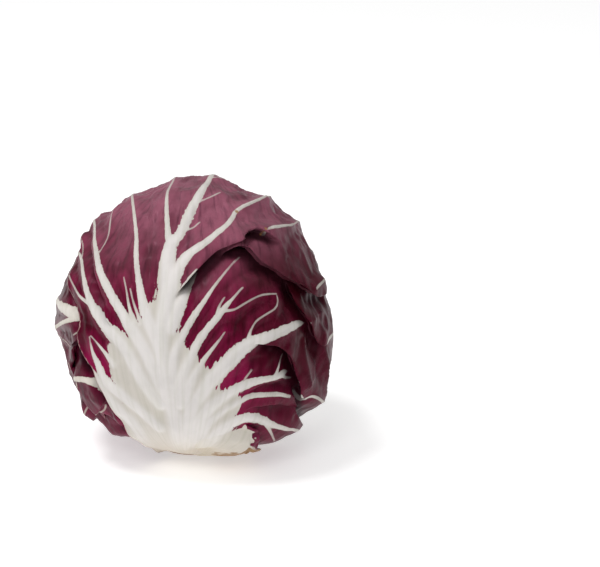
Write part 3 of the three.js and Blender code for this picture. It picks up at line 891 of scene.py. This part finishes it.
# ==== The front wrapper leaf ====
# The outermost leaf, which clasps the whole front. Its white ribs open like a fan from the stalk
# and thin out over the crown, and on the right its blade is folded over itself in deep laps.
# Plates and ribs, laps, creases and humps are all drawn in mm across and up, as on the left.
FRONT_PLATES = [
    # The heel of the leaf, one broad plate of white flesh from which all the ribs open.
    [(-6, -66, 20), (-7, -57, 21), (-8, -46, 22), (-10, -36, 20), (-13, -26, 17), (-16, -16, 13),
     (-17, -8, 10.5), (-16, -1, 7)],
    [(-6, -60, 15), (4, -50, 14), (10, -43, 10), (15, -39, 6.5)],
    [(-12, -50, 18), (-22, -34, 15), (-29, -25.4, 10.8), (-33.6, -19.4, 6.8), (-37, -14.8, 2.4)],
    [(-24, -58, 7), (-31, -46, 6), (-36, -37, 4.4), (-38, -31, 2.6)],
]
FRONT_RIBS = [
    # The midrib, and the two it forks into near the crown.
    [(-6, -66, 7), (-7, -57, 8), (-10, -40, 7.5), (-13, -24, 7), (-14, -8, 7.4), (-11.4, 7.2, 6),
     (-11, 18, 4.7), (-10.6, 26, 3.5), (-9.6, 32, 2.6), (-8.7, 35, 1.6)],
    [(-10, 31, 1.7), (-10.8, 37, 1.35), (-11.2, 44.8, 1), (-10.5, 54.2, 0.62), (-7.8, 61.4, 0.45),
     (-6, 68, 0.4), (-5, 78, 0.3)],
    [(-8.6, 31, 1.9), (-4.6, 38, 2.3), (-0.4, 47, 2.2), (3.2, 52.6, 1.9), (5.8, 56.5, 1.5), (9.4, 62.3, 1),
     (13, 66, 0.8), (17, 75, 0.5)],
    [(2.4, 50, 0.5), (8.3, 52, 0.3), (13, 54, 0.14)],
    [(-3.2, 38, 0.7), (0.2, 39.4, 0.4), (3.8, 42.2, 0.14)],
    [(9, 61, 0.6), (12.5, 60.6, 0.4), (16, 60, 0.16)],
    # The big rib that leaves the midrib to the upper right.
    [(-11, 4, 3.6), (-8.4, 15.6, 3), (-2.9, 25.4, 2.2), (6.3, 31.8, 1.6), (11.8, 36, 1.4), (15.4, 39, 1.2),
     (18.4, 43.4, 1), (20.2, 46.4, 0.95), (25.6, 48.6, 0.8), (32, 50.6, 0.6), (37, 53.5, 0.45),
     (44, 60, 0.3)],
    # The ribs of the left side, from the middle outwards.
    [(-11, -30, 5), (-15, -15, 4), (-19.6, -3, 3.1), (-22.7, 8, 2), (-24.3, 18, 1.3), (-24.9, 27, 1.1),
     (-25.3, 38, 0.85), (-26.2, 51.5, 0.6), (-27, 60, 0.35), (-27, 70, 0.25)],
    [(-12, -36, 5), (-19.8, -19.4, 4.2), (-26, -8.4, 3.5), (-31.2, 1, 2.3), (-35.7, 8.8, 2.1),
     (-39.4, 17.2, 1.8), (-41.9, 26, 1.35), (-43.7, 33.6, 1), (-43.2, 40, 0.75), (-43, 47, 0.4)],
    [(-42.2, 25.6, 0.55), (-40, 31.5, 0.35), (-37.9, 38.2, 0.25), (-35, 47, 0.16)],
    [(-26, -3, 1.4), (-28.2, 4, 0.7), (-29.4, 11, 0.4), (-30.4, 17, 0.14)],
    [(-23.6, -4, 1.2), (-24.4, 0, 0.7), (-26.4, 6, 0.45), (-27.8, 12, 0.16)],
    [(-15, -40, 5), (-24, -26, 4.6), (-30.6, -14.6, 5.2), (-36.2, -7.8, 4.1), (-41.8, -0.8, 2.9),
     (-45, 4.4, 2.2), (-46.7, 10, 1.6), (-48.4, 19.3, 1), (-50.4, 26.9, 0.7), (-52.4, 33, 0.3)],
    [(-46.4, 5.6, 0.9), (-49.7, 8.6, 0.65), (-52, 12.8, 0.5), (-54, 18, 0.3)],
    [(-49.8, 24, 0.4), (-49.4, 30, 0.25), (-48, 35, 0.14)],
    [(-16, -50, 5), (-25, -42, 4.4), (-33, -34, 3.6), (-38.5, -28.6, 2.6), (-42, -22, 1.7),
     (-44.5, -17, 1), (-45.7, -12.6, 0.5), (-46.2, -9.4, 0.2)],
    [(-35.6, -22, 1.9), (-38.4, -18.4, 1.3), (-41.2, -14.8, 0.8), (-44.3, -10.6, 0.35), (-45.6, -9, 0.2)],
    [(-16, -60, 4), (-26, -50, 3.4), (-34, -40, 2.6), (-39, -32, 1.8), (-42, -26.6, 1), (-45, -22, 0.5),
     (-48, -18, 0.4), (-50.8, -13, 0.5), (-51.6, -11.4, 0.7)],
    # The pale stripe beside the first lap, and the thin ribs that run out from under it.
    [(-10, -6, 3), (-5.8, 4.3, 2.7), (-3, 11.3, 2), (-0.4, 16, 1.2), (1.9, 19.6, 0.5)],
    [(-10, -26, 3.2), (-8.2, -16.6, 2.2), (-3.6, -7.4, 1.6), (0.9, 0.1, 1.3), (4.5, 5.1, 1),
     (8.6, 11, 0.65), (12.6, 16.2, 0.5), (18, 22.6, 0.4), (21.4, 26, 0.35), (24, 28, 0.1)],
    [(-9, -36, 4), (-3.2, -23, 2.4), (1.5, -13.5, 1.8), (5.8, -7.2, 1.6), (10.6, -1.6, 1.5), (14.2, 3, 1.1),
     (17.4, 6.6, 0.6), (20.8, 10.4, 0.4), (22.4, 11.8, 0.14)],
    [(11, 0.6, 0.8), (11.9, 4, 0.45), (14.2, 7.6, 0.12)],
    [(31.8, 35.6, 0.4), (34.8, 36.8, 0.8), (38, 37.9, 0.8), (41.5, 38.6, 0.7), (44.5, 39.1, 0.5),
     (49, 42, 0.3)],
    [(14.6, 1.6, 0.7), (18.4, 2, 0.4), (24, 5.2, 0.3), (29.8, 8, 0.26), (34, 8.8, 0.2), (38.3, 9, 0.16)],
    [(-6, -40, 3.6), (-0.4, -28, 2.2), (4.6, -20.3, 1.1), (8.7, -15.2, 0.7), (12.4, -10.6, 0.4),
     (14.2, -8, 0.14)],
    # The biggest of the right side, with its fork.
    [(-6, -56, 6), (-2, -44, 5), (5, -33.4, 4.4), (10.6, -26.4, 3.9), (18.8, -18.2, 3.5), (23, -14.6, 3),
     (27.4, -12.2, 2.6), (33.3, -9.7, 2.2), (40.6, -7, 1.9), (47.2, -5, 1.6), (50.4, -4.6, 1),
     (52.2, -4.5, 0.1)],
    [(24.6, -11, 0.9), (25.6, -7.6, 0.5), (28, -3.4, 0.36), (32, -0.6, 0.3), (36.5, 2.2, 0.27),
     (38, 5, 0.22), (38.3, 9, 0.16)],
    [(6, -28, 1.7), (11, -24, 1.1), (15, -21.6, 0.5), (18.6, -19, 0.14)],
    [(20, -13.8, 1.1), (24, -15, 0.7), (28, -13.6, 0.5), (32, -12.4, 0.2)],
    # The ribs low on the right.
    [(-4, -60, 5), (1, -50, 4), (6, -43, 3.4), (12.2, -37.8, 2.7), (17.4, -34.4, 2.5), (22.6, -31.4, 2.1),
     (28.4, -29.4, 1.6), (34.7, -28.4, 1.4), (40, -27.8, 1.4), (43, -27.6, 1.2), (44.6, -27.5, 0.1)],
    [(36, -27.8, 1.1), (38.6, -24, 0.65), (41.8, -19, 0.25)],
    [(21, -31.6, 0.5), (23, -28.4, 0.34), (25.8, -24.6, 0.2)],
    [(40, -28, 0.9), (43, -30, 0.6), (46, -30.4, 0.3)],
    [(0, -56, 4), (6, -49, 2.6), (12, -44.4, 1.8), (18, -40.3, 1.9), (23.4, -37.7, 1.3), (28.6, -36.6, 1.05),
     (33.8, -36.3, 0.95), (39, -36.6, 0.8), (44.1, -38.1, 0.6)],
    [(2, -60, 5), (9, -54, 3.8), (15.4, -49.8, 3.2), (21.5, -46.9, 2.7), (27.1, -47, 2.3),
     (31.6, -48.4, 1.8), (35.6, -50, 1.3), (40.6, -51.2, 1), (45.9, -51.9, 0.7), (52, -54, 0.5),
     (60, -58, 0.3)],
    [(31.6, -49, 0.9), (33.6, -52, 0.6), (35.2, -56, 0.2)],
    # The white tips of the folded lips.
    [(53.4, 10.4, 0.5), (55.2, 12.2, 0.6), (58.6, 16, 0.3)],
    [(59.8, -14, 0.3), (60.6, -12, 0.8), (62.5, -9, 0.5)],
    [(47.6, -37, 0.8), (49.8, -40.2, 1), (51.8, -38, 0.7), (54.6, -37.6, 0.6), (57.4, -39.8, 0.6)],
]
FRONT_LAPS = [
    # Under the big rib of the upper right, out to the pocket beneath the crown.
    ([(-9, 5.6), (-7.2, 8.6), (-3.4, 14.3), (2.5, 21.1), (11, 29.1), (18.6, 33.6), (24.9, 36.6), (28.4, 37),
      (32.5, 35), (36.6, 32.7), (40, 31)], 1.3, 1.9, 1.6, 3.6, 1),
    # The lip of the large flap on the right.
    ([(12, 26.4), (17, 30.4), (21.5, 32.3), (25.3, 31.3), (28.9, 27.8), (33.8, 23.6), (39.4, 19.3),
      (44.1, 16.6), (48.9, 13.6), (52.4, 10.2), (56, 9), (60, 12)], 1.5, 3.2, 2.8, 3.4, 1),
    # The second flap, below it.
    ([(43.4, 18), (45.2, 14.4), (46.6, 9), (48, 4.4), (50.4, 0), (53.4, -4.6), (56, -9.4), (58, -13),
      (61, -14.6)], 1.4, 2.6, 2, 2.8, 1),
    # The arch over the lower ribs, down to its white point.
    ([(24, -14), (27.6, -13.4), (31, -12.6), (35.6, -12.3), (39.8, -14.2), (43.2, -17.5), (45.4, -21.4),
      (46.6, -26.4), (48, -31.6), (49.6, -36.4), (51, -41)], 1.4, 2.8, 2, 3.8, 1),
    # The small laps under the two lowest ribs but one.
    ([(21, -43.8), (24, -43), (29, -41.6), (37.4, -41), (45, -42.4), (49, -44)], 1.1, 1.3, 0.7, 2.4, 1),
    ([(18.1, -39.9), (24.4, -34.9), (29.8, -31.4), (34.7, -30.3), (41, -30.6), (45, -31)], 1.1, 1.1, 0.6,
      1.8, 1),
    # The upright crevice low on the right.
    ([(45.6, -33), (46.4, -38), (46.2, -43), (47, -48), (49, -54)], 1.2, 1.6, 1.4, 3.4, -1),
    # The lap along the second rib of the left side.
    ([(-45.4, 36), (-43.9, 27), (-42.6, 19.3), (-41, 11.8), (-39.6, 4.3), (-38, -0.7), (-35, -7)], 1.1, 1.2,
      0.8, 2.0, 1),
]
# Creases: a line in mm across and up, how far it stands out or in, and how broad its slopes are.
FRONT_CREASES = [
    ([(19.9, 46.1), (25, 48.4), (31.5, 50.4), (36, 52)], 1.8, 4),
    ([(19.4, 45), (22.6, 42.2), (23.3, 39.6)], -1.4, 2.2),
    ([(23.4, 41.8), (28, 38.6), (32, 36.6), (38, 38), (44.5, 39), (49, 41)], 1.6, 4),
    ([(33.2, 51), (34.6, 47), (39, 43.4), (44.3, 39.7), (47, 37)], 1.4, 3),
    ([(38, 48), (42, 43), (48, 38)], -1.2, 3),
    ([(47, 36), (50.3, 27.7), (53.2, 19), (54, 12.4)], 1.4, 4),
    ([(44, 32), (43, 26), (41, 20.4)], -1, 3),
    ([(51.3, -5), (50.2, -18), (51.3, -27), (50.6, -36.5)], 2.2, 4),
    ([(53.2, -8), (56.1, -15.4), (57.3, -25.4), (56.4, -34.7)], -2.2, 3.4),
    ([(60.2, -16), (60.6, -26), (59.1, -34), (57, -40)], 1.4, 2.6),
    ([(52.4, -36.2), (55, -37.4), (58, -39.6)], 1.2, 2.4),
    ([(12, 8), (22, 17), (33, 24), (41, 26)], -1, 3),
    ([(14, 5), (24, 12), (34, 17), (42, 20)], 0.9, 3),
    ([(24, 3), (33, 8), (43, 9)], -0.8, 2.6),
    ([(-20, 24), (-20.5, 40), (-19, 56)], -1.2, 5),
    ([(-36, 24), (-36.5, 36), (-35, 48)], -1, 4),
    ([(-1, 36), (2, 44), (0, 56)], -0.8, 4),
]
# Humps: mm across and up, breadth and rise of each.
FRONT_SWELLINGS = [(20, 31, 4, 1.4), (44, -25, 7, -1.6), (40, 28, 8, 1.4), (24, 22, 8, -1.0),
                   (37, -57, 8, 2.2), (-19, 57, 9, -1.5), (11, 61, 6, 1.4)]
# Painted shade under the laps, and the tan bruises by the pocket under the crown.
FRONT_SHADE_SPOTS = [(29, 34.6, 3, 3.0), (24, 35, 3, 1.5), (47.6, -44, 2.5, 2.5), (-34, 0, 4, 1.6),
                 (-51, 12, 4, 1.2)]
FRONT_BRUISES = [(20.2, 46, 1.4, 0.9), (31.2, 35.8, 1.0, 0.75)]
HEEL_HUMPS = [(5, -61, 5, -2.6), (-12, -52, 9, 1.0)]  # the notch and the swelling of the leaf's heel
HEEL = heading(-8, -68)
FRONT_CELLS = 288


def creased(directions, creases):
    """The rise in mm made by sharp creases, which die out at both ends."""
    spots = directions.reshape(-1, 3) * HEAD_RADIUS
    rise = np.zeros(len(spots))
    for corners, tall, breadth in creases:
        near, signed, _, here, length, _ = fold_frame(spots, front_line(corners))
        ends = soft_step(0, 6, here) * soft_step(0, 6, length - here)
        rise[near] += tall * ends * np.exp(-np.abs(signed) / breadth)
    return rise.reshape(directions.shape[:-1])


front_red = leaf_finish("front_leaf_skin", (60, 8, 19), (134, 17, 66), (217, 213, 210), (210, 199, 183),
                        rim=0.6)
front_ribs = [front_line(rib) for rib in FRONT_RIBS]
front_plates = [front_line(plate) for plate in FRONT_PLATES]
rest, directions, lap = folded(FRONT, FRONT_CELLS, 0.24, FRONT_LAPS)
marks, ridge = leaf_marks(FRONT, directions, front_ribs, front_plates, HEEL)
margin = marks["margin"] = FRONT.margin(rest)
# Painted shade: the blade darkened where the laps push it down and in the shade spots.
marks["painted_shade"] = -lap + humps(rest, FRONT_SHADE_SPOTS)
marks["bruise"] = humps(directions, FRONT_BRUISES)
height = head_skin(rest) + lap + wrapper_relief(directions, marks, ridge, 400, 0.6, 1.8, 1.0)
height += 1.3 * np.exp(-margin / 4) * (1 + 0.6 * grain(directions * 60, 16, 420))
height += creased(directions, FRONT_CREASES) + humps(directions, HEEL_HUMPS)
height += humps(directions, FRONT_SWELLINGS)
leaf_mesh("front_wrapper_leaf_blade", directions, height, marks["rib_half"], marks, "front_wrapper_leaf",
          "leaf_red", front_red, beds=rest)

# ==== The stub of a torn leaf ====
# All that is left of an older leaf, pulled off at the base: a wedge of white rib flesh. Its torn
# edge on the right shows red, and its lower edge, along the stalk's cut, has dried brown.
STUB_OUTLINE = [(0, 14.8), (12, 15.4), (24, 16), (36, 16.6), (45, 17), (55, 20.4), (62, 23.6), (66, 27.4),
                (69, 28.4), (76, 28.6), (84, 29), (98, 28.6), (113, 27), (126, 23.5), (139, 19), (150, 15),
                (170, 11), (202, 12), (227, 14), (250, 16.6), (270, 16.4), (291, 19), (309, 19.4),
                (326, 19.4), (342, 17)]
STUB_CELLS = 90
STUB_THICKNESS = 1.2
STUB_HALF_WIDTH = 0.8
TABLE_GAP = 0.5
stub = Leaf(16, -58, STUB_OUTLINE, 0.7, 33)
directions = stub.spread(STUB_CELLS)
spots = directions * HEAD_RADIUS
up = spots[..., 2]
marks, ridge = leaf_marks(stub, directions, front_ribs, front_plates, HEEL)
torn = spots[..., 0] + 1.2 * grain(spots, 5, 512)
red = 4.0 - marks["margin"] + 2.4 * grain(spots, 4, 514)
marks["rib_gap"] = red - 10 * soft_step(23.5, 18.5, torn) - 6 * soft_step(-41, -45, up)
proud = np.maximum(soft_step(0, 9, marks["margin"]), soft_step(19, 25, torn))
height = head_skin(directions) + wrapper_relief(directions, marks, ridge, 400, 0.6, 0, 0) - 0.9
height += (1.4 + 2 * soft_step(4, 26, torn)) * proud + humps(directions, HEEL_HUMPS)
browned = np.maximum(soft_step(5, 0.4, marks["margin"]) * soft_step(-42, -48, up),
                     0.9 * soft_step(-41, -46, up + grain(spots, 3, 515) + 0.35 * (24 - torn)))
marks["bruise"] = browned * soft_step(5, 12, torn)
lowest = (GROUND + TABLE_GAP + STUB_THICKNESS - MIDDLE[2]) / directions[..., 2]
height = np.where(directions[..., 2] < -0.5, np.minimum(height, lowest), height)
stub_finish = leaf_finish("torn_stub_flesh", (84, 14, 38), (110, 20, 60), (217, 213, 208), (212, 200, 180),
                          rim=0)
leaf_mesh("torn_leaf_stub_flesh", directions, height, np.full_like(height, STUB_HALF_WIDTH), marks,
          "torn_leaf_stub", "rib_white", stub_finish)

# ==== The table, the light and the camera ====
# A table top of white acrylic lit a little from beneath, two large soft lights, one overhead and one
# above the front, both to the left, and the white of the room.
TABLE_HALF = 8.0  # m
head_middle = Vector((0, 0, 0.0615))
table_finish, tree, shader = finish("lit_white_table", Roughness=0.8, Emission_Color=(1, 1, 1, 1),
                                    Emission_Strength=0.5)
cloudy = noise(put(tree, "TexCoord").outputs["Object"], 2, 2)
feed(blended(cloudy, (0.84, 0.84, 0.84, 1), (0.87, 0.87, 0.87, 1)), shader.inputs["Base Color"])
mesh = bpy.data.meshes.new("table")
mesh.from_pydata([(x * TABLE_HALF, y * TABLE_HALF, GROUND) for x, y in ((-1, -1), (1, -1), (1, 1), (-1, 1))],
                 [], [(0, 1, 2, 3)])
mesh.materials.append(table_finish)
table = bpy.data.objects.new("table", mesh)
bpy.context.scene.collection.objects.link(table)


def aim(made, spot):
    """Puts a light or the camera in the scene, turned to look at a spot."""
    made.rotation_euler = (spot - made.location).to_track_quat("-Z", "Y").to_euler()
    bpy.context.scene.collection.objects.link(made)


# Name, place and breadth in m, and power in W.
for name, place, size, power in (("top_panel", (-0.45, -0.2, 1.25), 0.45, 8.6),
                                 ("front_panel", (-0.25, -1.1, 0.9), 0.6, 4.2)):
    lamp = bpy.data.lights.new(name, "AREA")
    lamp.shape = "DISK"
    lamp.size = size
    lamp.energy = power
    made = bpy.data.objects.new(name, lamp)
    made.location = place
    aim(made, head_middle)

# The wall behind and the ceiling are white and lit, the side the head is seen from is dim. The camera
# sees the room plain white.
world = bpy.data.worlds.new("white_room")
world.use_nodes = True
tree = world.node_tree
tree.nodes.clear()
way = split(put(tree, "TexCoord").outputs["Generated"])
lit = maths("MAXIMUM", ramp(way[1], -0.1, 0.6, 0.06, 0.36), ramp(way[2], 0.2, 1, 0, 0.6))
dim = put(tree, "Background", {"Color": (1, 1, 1, 1), "Strength": lit})
plain = put(tree, "Background", {"Color": (1, 1, 1, 1), "Strength": 1.0})
seen = put(tree, "MixShader", {0: put(tree, "LightPath").outputs["Is Camera Ray"], 1: dim.outputs[0],
                               2: plain.outputs[0]})
feed(seen.outputs[0], put(tree, "OutputWorld").inputs["Surface"])
bpy.context.scene.world = world
bpy.context.scene.view_settings.view_transform = "Standard"

CAMERA_AWAY = 1.2  # m from the head's middle
CAMERA_TILT = math.radians(18)
LOOK_RIGHT = 0.0482  # m that the camera looks past the head's middle
LOOK_ABOVE = 0.0132
camera = bpy.data.cameras.new("camera")
camera.lens = 160.7  # mm
camera.sensor_width = 36.0
camera.clip_start = 0.05
view = bpy.data.objects.new("camera", camera)
level, height = math.cos(CAMERA_TILT), math.sin(CAMERA_TILT)
view.location = head_middle + Vector((0, -level, height)) * CAMERA_AWAY
aim(view, head_middle + Vector((LOOK_RIGHT, height * LOOK_ABOVE, level * LOOK_ABOVE)))
bpy.context.scene.camera = view
